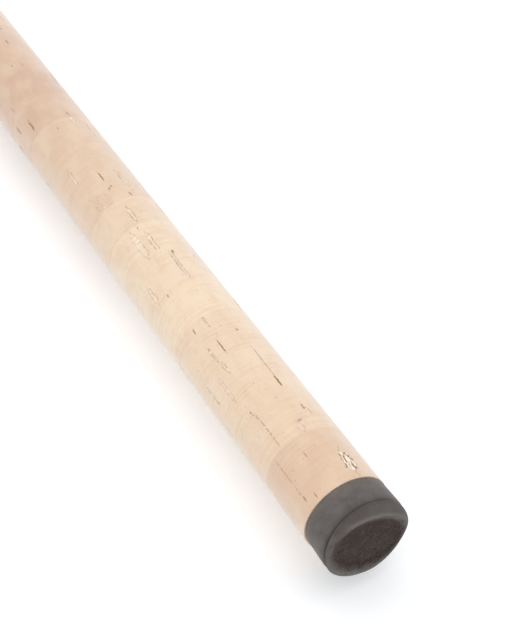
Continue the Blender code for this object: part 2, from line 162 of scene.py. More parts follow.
def rgb(red, green, blue):
    """A colour as a screen shows it, 0 to 255 a channel, as the linear value that a shader takes."""
    shares = [channel / 255 for channel in (red, green, blue)]
    linear = [s / 12.92 if s < 0.04045 else ((s + 0.055) / 1.055) ** 2.4 for s in shares]
    return (*linear, 1)


class Value:
    """An output of a material's nodes. Arithmetic on it adds Math nodes, and node() adds any other node."""

    def __init__(self, tree, socket=None):
        self.tree = tree
        self.socket = socket

    def fill(self, node, sockets):
        for name, value in sockets.items():
            found = node.inputs[name] if isinstance(name, int) else None
            found = found or next(s for s in node.inputs if s.enabled and s.name == name)
            if isinstance(value, Value):
                self.tree.links.new(value.socket, found)
            else:
                found.default_value = value

    def node(self, kind, settings={}, sockets={}, output=None):
        made = self.tree.nodes.new("ShaderNode" + kind)
        for name, setting in settings.items():
            setattr(made, name, setting)
        self.fill(made, sockets)
        return Value(self.tree, next(s for s in made.outputs if s.enabled and output in (None, s.name)))

    def math(self, operation, *others):
        return self.node("Math", {"operation": operation}, dict(enumerate((self, *others))))

    __add__ = __radd__ = partialmethod(math, "ADD")
    __mul__ = __rmul__ = partialmethod(math, "MULTIPLY")
    __sub__ = partialmethod(math, "SUBTRACT")
    __pow__ = partialmethod(math, "POWER")
    __abs__ = partialmethod(math, "ABSOLUTE")

    def __rsub__(self, other):
        return self.node("Math", {"operation": "SUBTRACT"}, {0: other, 1: self})

    def rise(self, low, high):
        """0 up to low and 1 from high on, or the other way round where high is the lower."""
        ends = {"Value": self, "From Min": low, "From Max": high}
        return self.node("MapRange", {"interpolation_type": "SMOOTHSTEP"}, ends)

    def places(self, along=1, across=1):
        """Object coordinates in millimetres, multiplied by these along the rod and across it."""
        place = self.node("TexCoord", output="Object")
        scale = (1000 * along, 1000 * across, 1000 * across)
        return self.node("VectorMath", {"operation": "MULTIPLY"}, {0: place, 1: scale})

    def noise(self, along, across, detail=2, roughness=0.5):
        sockets = {"Scale": 1, "Detail": detail, "Roughness": roughness}
        return self.node("TexNoise", sockets={"Vector": self.places(along, across), **sockets})

    def cells(self, along, across):
        return self.node("TexVoronoi", sockets={"Vector": self.places(along, across), "Scale": 1})

    def noted(self, name, output="Fac"):
        """What note() keeps for each point of a mesh under this name."""
        return self.node("Attribute", {"attribute_name": name}, output=output)

    def part(self, axis):
        return self.node("SeparateXYZ", sockets={"Vector": self}, output=axis)

    def mix(self, share, first, second):
        sockets = {"Factor": share, "A": first, "B": second}
        return self.node("Mix", {"data_type": "RGBA"}, sockets)

    def coats(self, colour, *coats):
        """A colour with others over it, each given as (its share, its red, green and blue)."""
        for share, coat in coats:
            colour = self.mix(share, colour, rgb(*coat))
        return colour

    def shade(self, **sockets):
        """Fills the shader's sockets: a number or colour is set there, a value is linked."""
        named = {name.replace("_", " "): value for name, value in sockets.items()}
        self.fill(self.tree.nodes["Principled BSDF"], named)

    def bump(self, height, strength=1.0):
        """A bump whose height is in millimetres."""
        return self.node("Bump", sockets={"Strength": strength, "Distance": MM, "Height": height})


def start_finish(name):
    """A new material and the value that its nodes start from."""
    material = bpy.data.materials.new(name)
    material.use_nodes = True
    return material, Value(material.node_tree)


TAPE_PITCH = 6
graphite, paint = start_finish("graphite")
place = paint.places()
turn = (place.part("Z") - AXIS.z / MM).math("ARCTAN2", place.part("Y") - AXIS.y / MM)
spiral = place.part("X") * (1 / TAPE_PITCH) + turn * (1 / (2 * pi))
tape_ridge = spiral.math("FRACT")
tape_edge = tape_ridge.rise(0.88, 0.97) * tape_ridge.rise(1, 0.97)
fibres = paint.noise(0.06, 3, 3)
coat_ripple = paint.noise(0.12, 0.5)
charcoal = paint.mix(fibres.rise(0.35, 0.7), rgb(22, 23, 26), rgb(42, 44, 48))
paint.shade(
    Base_Color=paint.mix(tape_edge * 0.5, charcoal, rgb(66, 68, 73)),
    Roughness=0.3 + 0.15 * fibres,
    Coat_Weight=1.0,
    Coat_Roughness=0.06,
    Normal=paint.bump(coat_ripple * 0.04 + tape_ridge * 0.03),
)

for number, (outline, body) in enumerate(zip(BLANKS, SECTION_BODIES), 1):
    (start, wide), (end, narrow) = outline[0], outline[-1]
    wall = [(start, wide - BLANK_EDGE), (start + BLANK_EDGE, wide)]
    if number > 1:
        swell_end, after = outline[1]
        throat = (start + SOCKET_DEPTH, BLANKS[number - 2][-1][1] + CAD_GAP)
        for share in evenly(0, 1, SWELL_STEPS):
            narrowed = (after - wide) * (1 - cos(pi * share)) / 2
            wall.append((swell_end + SWELL_LENGTH * (share - 0.5), wide + narrowed))
    wall += [(end - BLANK_EDGE, narrow), (end, narrow - BLANK_EDGE)]
    if number == len(BLANKS):
        wall += [(end, 0)]
        bore_end = end - TIP_SOLID
        bore = [(bore_end, 0), (bore_end - POINT_LENGTH, TIP_BORE), throat, (start, wide - BLANK_WALL)]
        outline_round = bore + wall
    else:
        bore = [(end, narrow - BLANK_WALL)]
        if number > 1:
            bore += [(throat[0] + THROAT_LENGTH, after - 2 * BLANK_WALL), throat]
        outline_round = wall + bore + [(start, wide - BLANK_WALL)]
    name = f"blank_section_{number}"
    add_piece(f"{name}_graphite", turned(outline_round, BLANK_SIDES), graphite, body, "graphite_blank", name)

# Rear grip. Seventeen rings punched from natural cork bark, glued face to face, bored for the blank and
# sanded as one to a straight cylinder. Each ring keeps the tone of its own sheet of bark, with painted shade
# added to the three rings at the far end of the view. The bark's breathing pores run along the rod: open
# brown ones, and wide ones filled with cork flour and glue.
GRIP_SIDES, GRIP_ROW = 320, 0.3
# the glued joint between rings is a hairline, this far below the surface
JOINT_DEPTH = 0.03
BORE_RADIUS = 5.6
# a point this near to a surface counts as on it
NEAR = 0.1
# the side of the grip that is turned to the camera, in degrees from the reel side
CAMERA_SIDE = 64.9
# 0 is the palest cream of cork, 1 a pinkish tan. The twelfth to the fourteenth rings are partly painted
# shade: their tones are made darker for the shade that falls off towards the far end of the view.
RING_TONES_AND_SHADE = (
    0.6, 0.31, 0.24, 0.22, 0.06, 0.15, 0.15, 0.31, 0.5, 0.57, 0.64, 0.86, 0.98, 0.88, 0.85, 0.57, 0.28,
)
# kinds of pore: how far it is filled, and how dark its lines are, below 0 for rusty ones
FAINT, OPEN, DARK = (0, 0.25), (0, 0.6), (0, 1)
FILLED, OUTLINED, CRACKED, KNOT = (0.8, 0.2), (0.8, 0.6), (0.8, 0.85), (1, 1)
REDDISH, RUSTY, STAIN = (0.8, -0.8), (0, -1), (0.5, -1)
# the pores that the photograph shows: (from, to, degrees right of the camera side, half width), from the
# grip's rear face on
PORES_IN_VIEW = {
    OPEN: (
        (0.9, 2.2, -15, 0.12), (2.2, 3.6, -29, 0.16), (24.7, 25.6, -15, 0.2), (26.2, 27.4, -18, 0.14),
        (32.7, 42.1, 36.5, 0.1), (35.9, 36.8, -48, 0.16), (47.7, 48.7, 35, 0.16), (52.9, 54.9, -13, 0.18),
        (66.4, 67.7, -12, 0.16), (77.7, 78.8, 32, 0.35), (89.2, 90.2, 12, 0.16), (97.7, 98.5, 18, 0.16),
        (106.3, 107.2, 15, 0.2), (107.0, 107.8, 20, 0.15), (136.0, 136.7, 9, 0.16), (140.2, 142.1, 38, 0.2),
        (146.6, 150.5, -46, 0.3), (179.5, 182.1, 32, 0.2), (187.8, 189.0, 40, 0.25),
    ),
    KNOT: ((2.0, 7.6, 44, 1.3),),
    FAINT: (
        (2.2, 15.0, -30, 0.1), (9.5, 10.9, 4, 0.12), (15.7, 24.3, -14, 0.09), (18.8, 21.1, 46, 0.1),
        (108.4, 113.7, 40, 0.12), (129.6, 136.7, 56, 0.15), (153.0, 156.0, -31, 0.25),
        (167.0, 168.8, 27, 0.2), (168.2, 169.4, 12, 0.2),
    ),
    REDDISH: ((15.5, 17.9, 21, 0.6), (32.4, 39.7, -25, 0.42)),
    RUSTY: ((18.2, 18.7, 25, 0.5), (20.8, 22.6, 41, 0.26), (101.8, 103.3, 37, 0.35)),
    OUTLINED: (
        (27.8, 30.5, -27, 0.38), (37.6, 42.0, -49, 0.25), (38.8, 42.0, -9, 0.36), (42.8, 47.4, -12, 0.26),
        (52.2, 55.6, 7, 0.22), (79.7, 87.3, 17, 0.5), (92.3, 97.7, 18, 0.5),
    ),
    DARK: (
        (28.6, 32.2, 36, 0.26), (43.2, 47.9, 4, 0.14), (110.1, 113.9, 16, 0.18), (141.8, 146.9, -21, 0.26),
    ),
    FILLED: (
        (67.5, 73.3, -29, 0.55), (79.7, 89.9, -1, 0.8), (103.5, 112.3, 45, 0.3), (114.7, 121.4, -19, 0.4),
        (135.7, 139.5, 38, 0.35),
    ),
    CRACKED: ((67.9, 78.7, 28, 0.45),),
    STAIN: ((101.8, 109.0, -13, 1.5), (101.7, 105.9, 4, 1.0), (142.6, 151.5, -9, 1.3)),
}
# how far along the grip they reach, and how many degrees to each side of the camera side
IN_VIEW_END, IN_VIEW_SIDES = 190, 62
# the other pores of a ring: how many, how long, how far from its two joints, and half widths
PORE_COUNTS, PORE_LENGTHS, PORE_MARGINS = (7, 12), (1, 8), (0.4, 0.6)
FILLED_HALVES, OPEN_HALVES = (0.3, 0.6), (0.1, 0.26)
# an open pore is pressed in from this half width on, this wide and this deep for each mm of it
LEAST_PRESSED, PRESSED_WIDTH, PRESSED_DEPTH = 0.15, 1.3, 0.3
NO_PORE = 99.0
# the most that growth bands slant, and the length of bark that rings are cut from
GROWTH_SLANT, BARK_LENGTH = 0.12, 500

cork, paint = start_finish("cork")
tone = paint.noted("tone")
growth = paint.noted("growth")
pore = paint.noted("pore", "Vector")
pore_kind = paint.noted("pore_kind", "Vector")
half_width, filled, tint = (pore_kind.part(axis) for axis in "XYZ")
is_rusty = tint.rise(-0.2, -0.6)
is_stain = is_rusty * filled.rise(0.7, 0.6)
strength = abs(tint)
wander = paint.noise(0.6, 0.7, 3, 0.7) - 0.5
ragged = paint.noise(1.1, 3, 3, 0.7)
broken = paint.noise(1.4, 0.5)
across = abs(pore.part("X") + wander * (0.25 + 1.6 * half_width))
along = abs(pore.part("Y"))
narrowing = (1 - along**6).math("MAXIMUM", 0)
outside = across - half_width * narrowing * (0.2 + 1.4 * ragged)
is_near = (pore.part("Z") - half_width).rise(0.55, 0.3)
inside = outside.rise(0.06, -0.06) * is_near
rim = abs(outside + 0.03).rise(0.15, 0.02) * is_near * broken.rise(0.3, 0.5)
streaks = paint.noise(0.45, 1.6).rise(0.47, 0.57) * inside * tint.rise(0.7, 1)
open_pore = inside * broken.rise(0.42 - 0.15 * strength, 0.52 - 0.1 * strength) * (1 - filled)
line = open_pore.math("MAXIMUM", rim * filled).math("MAXIMUM", streaks)

growth_lines = paint.node("TexNoise", {"noise_dimensions": "1D"}, {"W": growth, "Scale": 1, "Detail": 1})
growth_patches = paint.noise(0.3, 0.12).rise(0.32, 0.68)
cloud = paint.noise(0.16, 0.22, 3)
blush = paint.noise(0.14, 0.3, 3, 0.6)
grain = paint.noise(2.2, 2.2, 4, 0.7)
mottling = paint.noise(0.4, 0.6, 3, 0.6)
speck_size = paint.noise(0.35, 0.35, 1)
specks = paint.cells(0.45, 0.9)
speck = specks.rise(0.16, 0.05) * speck_size.rise(0.42, 0.58)

soft_inside = outside.rise(0.35, -0.45) * is_near
stain = soft_inside * is_stain * filled * (0.15 + 0.9 * grain.rise(0.48, 0.6))
bark = paint.coats(
    paint.mix(tone, rgb(251, 227, 196), rgb(212, 172, 142)),
    (growth_lines.rise(0.35, 0.65) * growth_patches * 0.24, (212, 168, 130)),
    (mottling.rise(0.45, 0.65) * 0.16, (226, 188, 160)),
    (cloud.rise(0.35, 0.75) * 0.25, (252, 236, 208)),
    (blush.rise(0.45, 0.75) * 0.28, (226, 184, 158)),
    (grain.rise(0.45, 0.75) * 0.16, (200, 160, 130)),
    (speck * 0.35, (150, 112, 86)),
    (stain, (204, 154, 126)),
)
filler = inside * filled * filled * (1 - is_stain)
bark = paint.mix(filler, bark, paint.mix(is_rusty, rgb(255, 239, 217), rgb(253, 230, 210)))
line_colour = paint.coats(
    rgb(204, 154, 116),
    (strength, (152, 112, 80)),
    (is_rusty, (198, 150, 128)),
)
bark = paint.mix(line * (1 - 2 * is_stain * filled), bark, line_colour)
paint.shade(
    Base_Color=bark,
    Roughness=0.62 + 0.2 * grain,
    Specular_IOR_Level=0.35,
    Sheen_Weight=1.0,
    Normal=paint.bump(grain * 0.04 + growth_lines * 0.005 - open_pore * 0.05 - speck * 0.05, 0.8),
)


def pores_at_random(random, start, end, free_sides):
    """Pores on the sides of a ring that are out of view, between these degrees of the camera side."""
    kinds = (FAINT, OPEN, OPEN, DARK, FILLED, OUTLINED, CRACKED, REDDISH)
    made = []
    for _ in range(random.integers(*PORE_COUNTS)):
        kind = kinds[random.integers(len(kinds))]
        length = random.uniform(*PORE_LENGTHS)
        first = random.uniform(start + PORE_MARGINS[0], end - PORE_MARGINS[1] - length)
        turn = random.uniform(*free_sides)
        half = random.uniform(*(FILLED_HALVES if kind[0] else OPEN_HALVES))
        made.append((first, first + length, turn, half, kind))
    return made


def note(mesh, name, values):
    """Keeps a number, or three, for each point of a mesh under a name that its material reads."""
    values = np.asarray(values, np.float32)
    kind, field = ("FLOAT", "value") if values.ndim == 1 else ("FLOAT_VECTOR", "vector")
    mesh.attributes.new(name, kind, "POINT").data.foreach_set(field, values.ravel())


def mark_pores(mesh, pores, random):
    """Notes on each point of a ring how it lies to its nearest pore, and presses the open pores in."""
    flat = np.empty(3 * len(mesh.vertices), np.float32)
    mesh.vertices.foreach_get("co", flat)
    spots = flat.reshape(-1, 3).astype(float)
    place, side, height = ((spots - (BUTT_END, AXIS.y, AXIS.z)) / MM).T
    radius = np.hypot(side, height)
    turn = np.arctan2(height, side) - radians(CAMERA_SIDE)
    nearest = np.full(len(place), NO_PORE)
    offsets = np.full(spots.shape, NO_PORE)
    kinds = np.zeros(spots.shape)
    depth = np.zeros(len(place))
    for first, last, degrees, half, (filled, tint) in pores:
        half_length = (last - first) / 2
        across = ((turn - radians(degrees) + pi) % (2 * pi) - pi) * radius
        along = (place - (first + last) / 2) / half_length
        reach = np.hypot(across, np.maximum(abs(along) - 1, 0) * half_length)
        closer = reach - half < nearest
        nearest[closer] = (reach - half)[closer]
        offsets[closer] = np.stack((across, along, reach), 1)[closer]
        kinds[closer] = (half, filled, tint)
        if not filled and half > LEAST_PRESSED:
            pressed = np.clip(1 - (across / (PRESSED_WIDTH * half)) ** 2, 0, 1) * np.clip(1 - along**4, 0, 1)
            depth = np.maximum(depth, PRESSED_DEPTH * half * pressed)
    depth[radius < BORE_RADIUS + NEAR] = 0
    spots[:, 1] -= side / radius * depth * MM
    spots[:, 2] -= height / radius * depth * MM
    mesh.vertices.foreach_set("co", spots.astype(np.float32).ravel())
    slant = random.uniform(-GROWTH_SLANT, GROWTH_SLANT, 2)
    growth = place + slant[0] * side + slant[1] * height + random.uniform(0, BARK_LENGTH)
    note(mesh, "pore", offsets)
    note(mesh, "pore_kind", kinds)
    note(mesh, "growth", growth)
    mesh.update()


def span(node):
    """Where a turned CAD node starts and ends, and its outer radius."""
    low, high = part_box(node)
    return (low.x - BUTT_END) / MM, (high.x - BUTT_END) / MM, (high.z - low.z) / 2 / MM


def add_cork_ring(name, node, tone, radius_at, seed):
    """One ring, from its own glued joint to the next ring's."""
    start, end, _ = span(node)
    end += CAD_GAP
    rows = round((end - start) / GRIP_ROW)
    outline = [(start, radius_at(start) - JOINT_DEPTH)]
    outline += [(place, radius_at(place)) for place in evenly(start + JOINT_DEPTH, end - JOINT_DEPTH, rows)]
    outline += [(end, radius_at(end) - JOINT_DEPTH), (end, BORE_RADIUS), (start, BORE_RADIUS)]
    ring = add_piece(name, turned(outline, GRIP_SIDES), cork, "butt_section", "cork", node)
    random = np.random.default_rng(seed)
    pores = [
        (GRIP_START + first, GRIP_START + last, turn, half, kind)
        for kind, marks in PORES_IN_VIEW.items()
        for first, last, turn, half in marks
        if start <= GRIP_START + first < end
    ]
    free_sides = (IN_VIEW_SIDES, 360 - IN_VIEW_SIDES) if start < GRIP_START + IN_VIEW_END else (0, 360)
    pores += pores_at_random(random, start, end, free_sides)
    mark_pores(ring.data, pores, random)
    note(ring.data, "tone", np.full(len(ring.data.vertices), tone))


GRIP_START, _, GRIP_RADIUS = span("rear_cork_ring_01")
for number, tone in enumerate(RING_TONES_AND_SHADE, 1):
    name = f"cork_ring_{number:02}"
    add_cork_ring(name, f"rear_{name}", tone, lambda place: GRIP_RADIUS, number)

# Butt cap. A moulded plug of dark closed-cell foam, glued over the blank's butt end and sanded with the cork
# so that they are flush. A crease parts its straight wall from the rolled rim. The end is dished, and its
# surface there is coarse where the foam's cells are cut open. Its colour also holds painted shade in and
# beside the crease and over the rolled end, and a painted highlight along the low lip round the dish.
CAP_SIDES = 160
CAP_SOCKET = 4.8
END_ROWS, ROLL_ROWS, CREASE_ROWS, WALL_ROWS = 24, 16, 10, 20
# how far the middle of its end stands in
CAP_MIDDLE = 0.4
# how much the upper half leans in at the end and at the crease, and the rim on the side away from the reel
END_LEAN, CREASE_LEAN, SIDE_LEAN = 0.054, 0.125, 0.025
# the rim rolls over this length and height, and its top and its edge at the crease lie below the cork
ROLL_LENGTH, ROLL_HEIGHT = 0.9, 2.3
RIM_DROP, CREASE_EDGE = 0.06, (0.15, 0.14)
CREASE, CREASE_DEPTH = 1.5, 0.3
# from the crease the wall curves out to here, quickly at first
WALL_START, WALL_EASE = 3.0, 1.6
# at the cork it is this much smaller, and a little off centre: away from the reel, and up
SEAM_STEP, SEAM_EDGE = 0.2, (0.05, 0.06)
CAP_OFFSET = (-0.07, 0.03)
# the dish is an oval off the cap's centre, its long way turned up from the reel side
DISH_OUT, DISH_SIDE, DISH_TURN = -0.15, -0.6, radians(21)
DISH_LONG, DISH_SHORT, DISH_DEPTH = 9.55, 7.1, 0.9
# as shares of its size: its edge, its floor, where coarse foam starts, and the low lip outside it
DISH_RIM, DISH_FLOOR, COARSE_RIM, LIP_REACH = 1.03, 0.7, 1.06, 1.1
LIP_HEIGHT, LIP_WIDTH = 0.12, 0.06
# the painted shade in the crease's groove and on the foam beside it, which is deeper low on the reel's
# side, where less light falls
GROOVE_HALF_WIDTH, GROOVE_DARK, BESIDE_DARK, BESIDE_END = 0.45, 0.7, 0.45, 4
LOW_DARKER, LOW_SIDE, DARK_START = 0.8, (-6, 10), 0.9


def smooth(low, high, value):
    """What Value.rise gives, for a number."""
    share = min(max((value - low) / (high - low), 0), 1)
    return share * share * (3 - 2 * share)


def within(start, end, run, value):
    """1 from start to end, and 0 from this run outside them."""
    return smooth(start - run, start, value) * smooth(end + run, end, value)


def off_axis(point):
    """A point's place along the rod, its height on the reel's side, its other offset, and its radius."""
    out, side = (point.y - AXIS.y) / MM, (point.z - AXIS.z) / MM
    return (point.x - BUTT_END) / MM, out, side, hypot(out, side)


_, cap_end, _ = span("butt_cap")
cap_end += CAD_GAP
foam, paint = start_finish("butt_cap_foam")
# each point notes its share of the dish, the painted shade at the crease, and how far it lies across the
# dish's oval
cap_dish_and_shade = paint.noted("cap_dish_and_shade", "Vector")
dish, crease, reach = (cap_dish_and_shade.part(axis) for axis in "XYZ")
is_end = paint.noted("is_end")
skin = paint.noise(3, 3, 4, 0.7)
scuffs = paint.noise(0.5, 0.22, 3)
patches = paint.noise(0.45, 0.45)
cut_cells = paint.cells(1.9, 1.9)
small_cells = paint.cells(2.2, 2.2)
ragged_edge = (dish + (patches - 0.5) * 0.8 + (small_cells - 0.4) * 0.4).rise(0.1, 0.8)
# where a painted highlight lies, along the top of the low lip round the dish
ridge_highlight = reach.rise(1.18, 1.08) * reach.rise(0.96, 1.04) * is_end
from_seam = BUTT_END / MM + cap_end - paint.places().part("X")
wall_colour = paint.coats(
    paint.mix(scuffs.rise(0.2, 0.8), rgb(94, 89, 86), rgb(108, 103, 100)),
    (skin.rise(0.45, 0.7) * 0.35, (68, 64, 62)),
    (patches.rise(0.35, 0.65) * 0.4, (84, 79, 76)),
    # painted shade in and beside the crease
    (crease * 0.45, (34, 31, 30)),
    # painted shade over the whole rolled end, up to the crease
    (is_end * 0.5, (82, 75, 71)),
    # a painted highlight along the top of the lip
    (ridge_highlight * 0.45 * scuffs.rise(0.25, 0.6), (120, 113, 108)),
    (from_seam.rise(3, 0.3) * skin.rise(0.3, 0.6) * 0.3, (146, 132, 120)),
    (from_seam.rise(0.22, 0.12) * 0.7, (150, 120, 98)),
)
pits = cut_cells.rise(0.45, 0.1) * patches.rise(0.35, 0.6)
dish_colour = paint.coats(
    paint.mix(small_cells.rise(0.14, 0.5), rgb(14, 6, 4), rgb(60, 46, 41)),
    (patches.rise(0.4, 0.65) * 0.45, (80, 67, 61)),
    (pits * 0.8, (22, 17, 16)),
)
paint.shade(
    Base_Color=paint.mix(ragged_edge, wall_colour, dish_colour),
    Roughness=0.55 + 0.1 * skin + 0.3 * ragged_edge,
    Specular_IOR_Level=0.2,
    Sheen_Weight=0.1,
    Normal=paint.bump(skin * 0.05 + ragged_edge * (small_cells * 0.1 - pits * 0.25)),
)

rim_top = GRIP_RADIUS - ROLL_HEIGHT
outline = [(CAP_MIDDLE, radius) for radius in evenly(0, rim_top, END_ROWS)[:-1]]
for turn in evenly(0, pi / 2, ROLL_ROWS):
    rolled = ROLL_LENGTH * (1 - cos(turn))
    outline.append((CAP_MIDDLE + rolled, rim_top + (ROLL_HEIGHT - RIM_DROP) * sin(turn)))
outline += [(CREASE - CREASE_EDGE[0], GRIP_RADIUS - CREASE_EDGE[1]), (CREASE, GRIP_RADIUS - CREASE_DEPTH)]
for share in evenly(0, 1, CREASE_ROWS)[1:]:
    place = CREASE + (WALL_START - CREASE) * share**WALL_EASE
    outline.append((place, GRIP_RADIUS - CREASE_DEPTH * (1 - sin(pi / 2 * share))))
for share in evenly(0, 1, WALL_ROWS)[1:-1]:
    outline.append((WALL_START + (cap_end - WALL_START) * share, GRIP_RADIUS - SEAM_STEP * share))
seam_radius = GRIP_RADIUS - SEAM_STEP
outline += [(cap_end - SEAM_EDGE[0], seam_radius), (cap_end, seam_radius - SEAM_EDGE[1])]
outline += [(cap_end, BORE_RADIUS), (CAP_SOCKET, BORE_RADIUS), (CAP_SOCKET, 0)]
cap = turned(outline, CAP_SIDES)
# marks holds each point's dish share, its painted crease shade and its reach across the dish's oval
marks, on_end = [], []
for vert in cap.verts:
    place, out, side, radius = off_axis(vert.co)
    long_way = (out - DISH_OUT) * cos(DISH_TURN) + (side - DISH_SIDE) * sin(DISH_TURN)
    short_way = (side - DISH_SIDE) * cos(DISH_TURN) - (out - DISH_OUT) * sin(DISH_TURN)
    reach = hypot(long_way / DISH_LONG, short_way / DISH_SHORT)
    is_end = place < CREASE
    is_outside = is_end or radius > BORE_RADIUS + NEAR
    lean = END_LEAN + (CREASE_LEAN - END_LEAN) * smooth(CAP_MIDDLE, CREASE, place)
    lean *= smooth(cap_end, CREASE, place) * is_outside
    side_lean = SIDE_LEAN * max(-out, 0) * smooth(CREASE, CAP_MIDDLE, place)
    lip = LIP_HEIGHT * exp(-(((reach - LIP_REACH) / LIP_WIDTH) ** 2))
    pressed = DISH_DEPTH * smooth(DISH_RIM, DISH_FLOOR, reach) - lip
    vert.co.x += (lean * max(side, 0) + side_lean + pressed * is_end) * MM
    vert.co += Vector((0, *CAP_OFFSET)) * MM
    # painted shade in the crease's groove and beside it, deeper low on the reel's side
    groove = exp(-(((place - CREASE) / GROOVE_HALF_WIDTH) ** 2))
    crease_shade = GROOVE_DARK * groove + BESIDE_DARK * smooth(BESIDE_END, CREASE, place)
    crease_shade *= LOW_DARKER + LOW_DARKER * smooth(*LOW_SIDE, out - side)
    marks.append((smooth(COARSE_RIM, DISH_FLOOR, reach) * is_end, crease_shade * (place > DARK_START), reach))
    on_end.append(is_end)
cap = add_piece("butt_cap_foam", cap, foam, "butt_section", "dark_foam", "butt_cap")
note(cap.data, "cap_dish_and_shade", marks)
note(cap.data, "is_end", on_end)

# Seat trim ring. A short ring turned from aluminium and anodised near black, pushed over the blank between
# the cork and the reel seat. Its edges are rounded, and a fine line is cut round its middle.
LATHE_SIDES, EDGE_STEPS = 128, 5
TRIM_EDGE = 0.5
# the line's depth, and (place, depth) round its section, as shares of that
TRIM_LINE = 0.18
LINE_SECTION = ((-1.4, 0), (-0.6, 1), (0.6, 1), (1.4, 0))


def rounded_tube(start, end, radius, bore, edge, taper=0):
    """The outline of a tube in two parts, its first rounded edge, and its second one with the bore."""
    turns = [(edge * (1 - cos(t)), edge * (1 - sin(t))) for t in evenly(0, pi / 2, EDGE_STEPS)]
    front = [(start + along, radius - drop) for along, drop in turns]
    back = [(end - along, radius - taper - drop) for along, drop in turns[::-1]]
    return front, back + [(end, bore), (start, bore)]


anodised, paint = start_finish("anodised_aluminium")
lathe_marks = paint.noise(9, 0.2)
paint.shade(
    Base_Color=paint.mix(lathe_marks.rise(0.3, 0.7), rgb(70, 70, 73), rgb(84, 84, 87)),
    Metallic=1.0,
    Roughness=0.26 + 0.1 * lathe_marks,
    Normal=paint.bump(lathe_marks * 0.006),
)

start, end, radius = span("seat_trim_ring")
front, back = rounded_tube(start, end, radius, BORE_RADIUS, TRIM_EDGE)
middle = (start + end) / 2
line = [(middle + along * TRIM_LINE, radius - depth * TRIM_LINE) for along, depth in LINE_SECTION]
ring = turned(front + line + back, LATHE_SIDES)
add_piece("trim_ring_turned", ring, anodised, "butt_section", "dark_aluminium", "seat_trim_ring")

# Reel seat. One moulding in glass-filled nylon: a collar, a flat bed for the reel's foot with a few ribs
# across it, and a thread for the lock nut. Two foam arbors centre it on the blank, glued in with epoxy.
SEAT_SIDES = 144
BARREL_RADIUS, BARREL_BORE, BARREL_EDGE = 8.7, 7.4, 0.3
COLLAR_LENGTH, COLLAR_RADIUS, COLLAR_EDGE = 2.2, 9.9, 0.4
BED_FROM, BED_TO = 9, 61
BED_HALF_WIDTH, BED_HEIGHT = 5.5, 8.9
# how far from the bed's sides its ribs' grooves fade out, and the part of a rib's wave where they slope
BED_RIB_PITCH, BED_RIB_HEIGHT, BED_MARGINS, VALLEY = 4, 0.3, (0.7, 1.2), (0.5, 0.9)
# the thread runs in over one pitch and out to a plain band. Its flanks are this far from a crest, in pitches
THREAD_FROM, THREAD_TO, END_BAND = 67, 106, 0.5
THREAD_PITCH, THREAD_ROOT, THREAD_CREST, FLANK = 1.5, 8.45, 9.0, (0.12, 0.42)
# rows lie close together at the thread and at the bed's step
FINE_ROW, PLAIN_ROW = 0.19, 0.4

nylon, paint = start_finish("moulded_nylon")
mould_grain = paint.noise(5, 5, 3, 0.6)
handling = paint.noise(0.2, 0.3, 3)
paint.shade(
    Base_Color=paint.mix(mould_grain.rise(0.4, 0.7), rgb(46, 46, 48), rgb(56, 56, 58)),
    Roughness=0.34 + 0.16 * handling + 0.06 * mould_grain,
    Normal=paint.bump(mould_grain * 0.02),
)


def set_off_axis(vert, out, side):
    vert.co.y, vert.co.z = AXIS.y + out * MM, AXIS.z + side * MM


seat_start, seat_end, _ = span("reel_seat_body")
place = seat_start + COLLAR_LENGTH
front, back = rounded_tube(seat_start, place, COLLAR_RADIUS, 0, COLLAR_EDGE)
outline = front + back[:-2]
while place < seat_end - PLAIN_ROW:
    outline.append((place, BARREL_RADIUS))
    is_fine = place > seat_start + THREAD_FROM - 1 or abs(place - seat_start - BED_FROM) < 1
    place += FINE_ROW if is_fine else PLAIN_ROW
_, back = rounded_tube(seat_start, seat_end, BARREL_RADIUS, BARREL_BORE, BARREL_EDGE)
seat = turned(outline + back, SEAT_SIDES)
rib_from, rib_to = (BED_HALF_WIDTH - margin for margin in BED_MARGINS)
for vert in seat.verts:
    place, out, side, radius = off_axis(vert.co)
    along = place - seat_start
    if radius < BARREL_RADIUS - NEAR:
        continue
    if BED_FROM < along < BED_TO and out > 0 and abs(side) < BED_HALF_WIDTH:
        wave = 0.5 - 0.5 * cos(2 * pi * (along - BED_FROM) / BED_RIB_PITCH)
        valley = smooth(*VALLEY, wave) * smooth(rib_from, rib_to, abs(side))
        set_off_axis(vert, BED_HEIGHT - BED_RIB_HEIGHT * valley, side)
    elif along > THREAD_FROM and radius < BARREL_RADIUS + NEAR:
        phase = (place / THREAD_PITCH - atan2(side, out) / (2 * pi)) % 1
        flank = smooth(*FLANK, abs(phase - 0.5))
        cut = smooth(THREAD_FROM, THREAD_FROM + THREAD_PITCH, along)
        cut *= smooth(seat_end - seat_start - END_BAND, THREAD_TO, along)
        depth = THREAD_CREST + (THREAD_ROOT - THREAD_CREST) * flank
        new = BARREL_RADIUS + (depth - BARREL_RADIUS) * cut
        set_off_axis(vert, out * new / radius, side * new / radius)
add_piece("reel_seat_moulding", seat, nylon, "butt_section", "black_nylon", "reel_seat_body")

arbor_foam, paint = start_finish("arbor_foam")
foam_cells = paint.noise(3, 3, 3, 0.7)
paint.shade(
    Base_Color=paint.mix(foam_cells.rise(0.4, 0.65), rgb(178, 174, 164), rgb(204, 200, 190)),
    Roughness=0.9,
    Normal=paint.bump(foam_cells * 0.1),
)
for number in (1, 2):
    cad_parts[f"seat_arbor_{number}"].data.materials[0] = arbor_foam

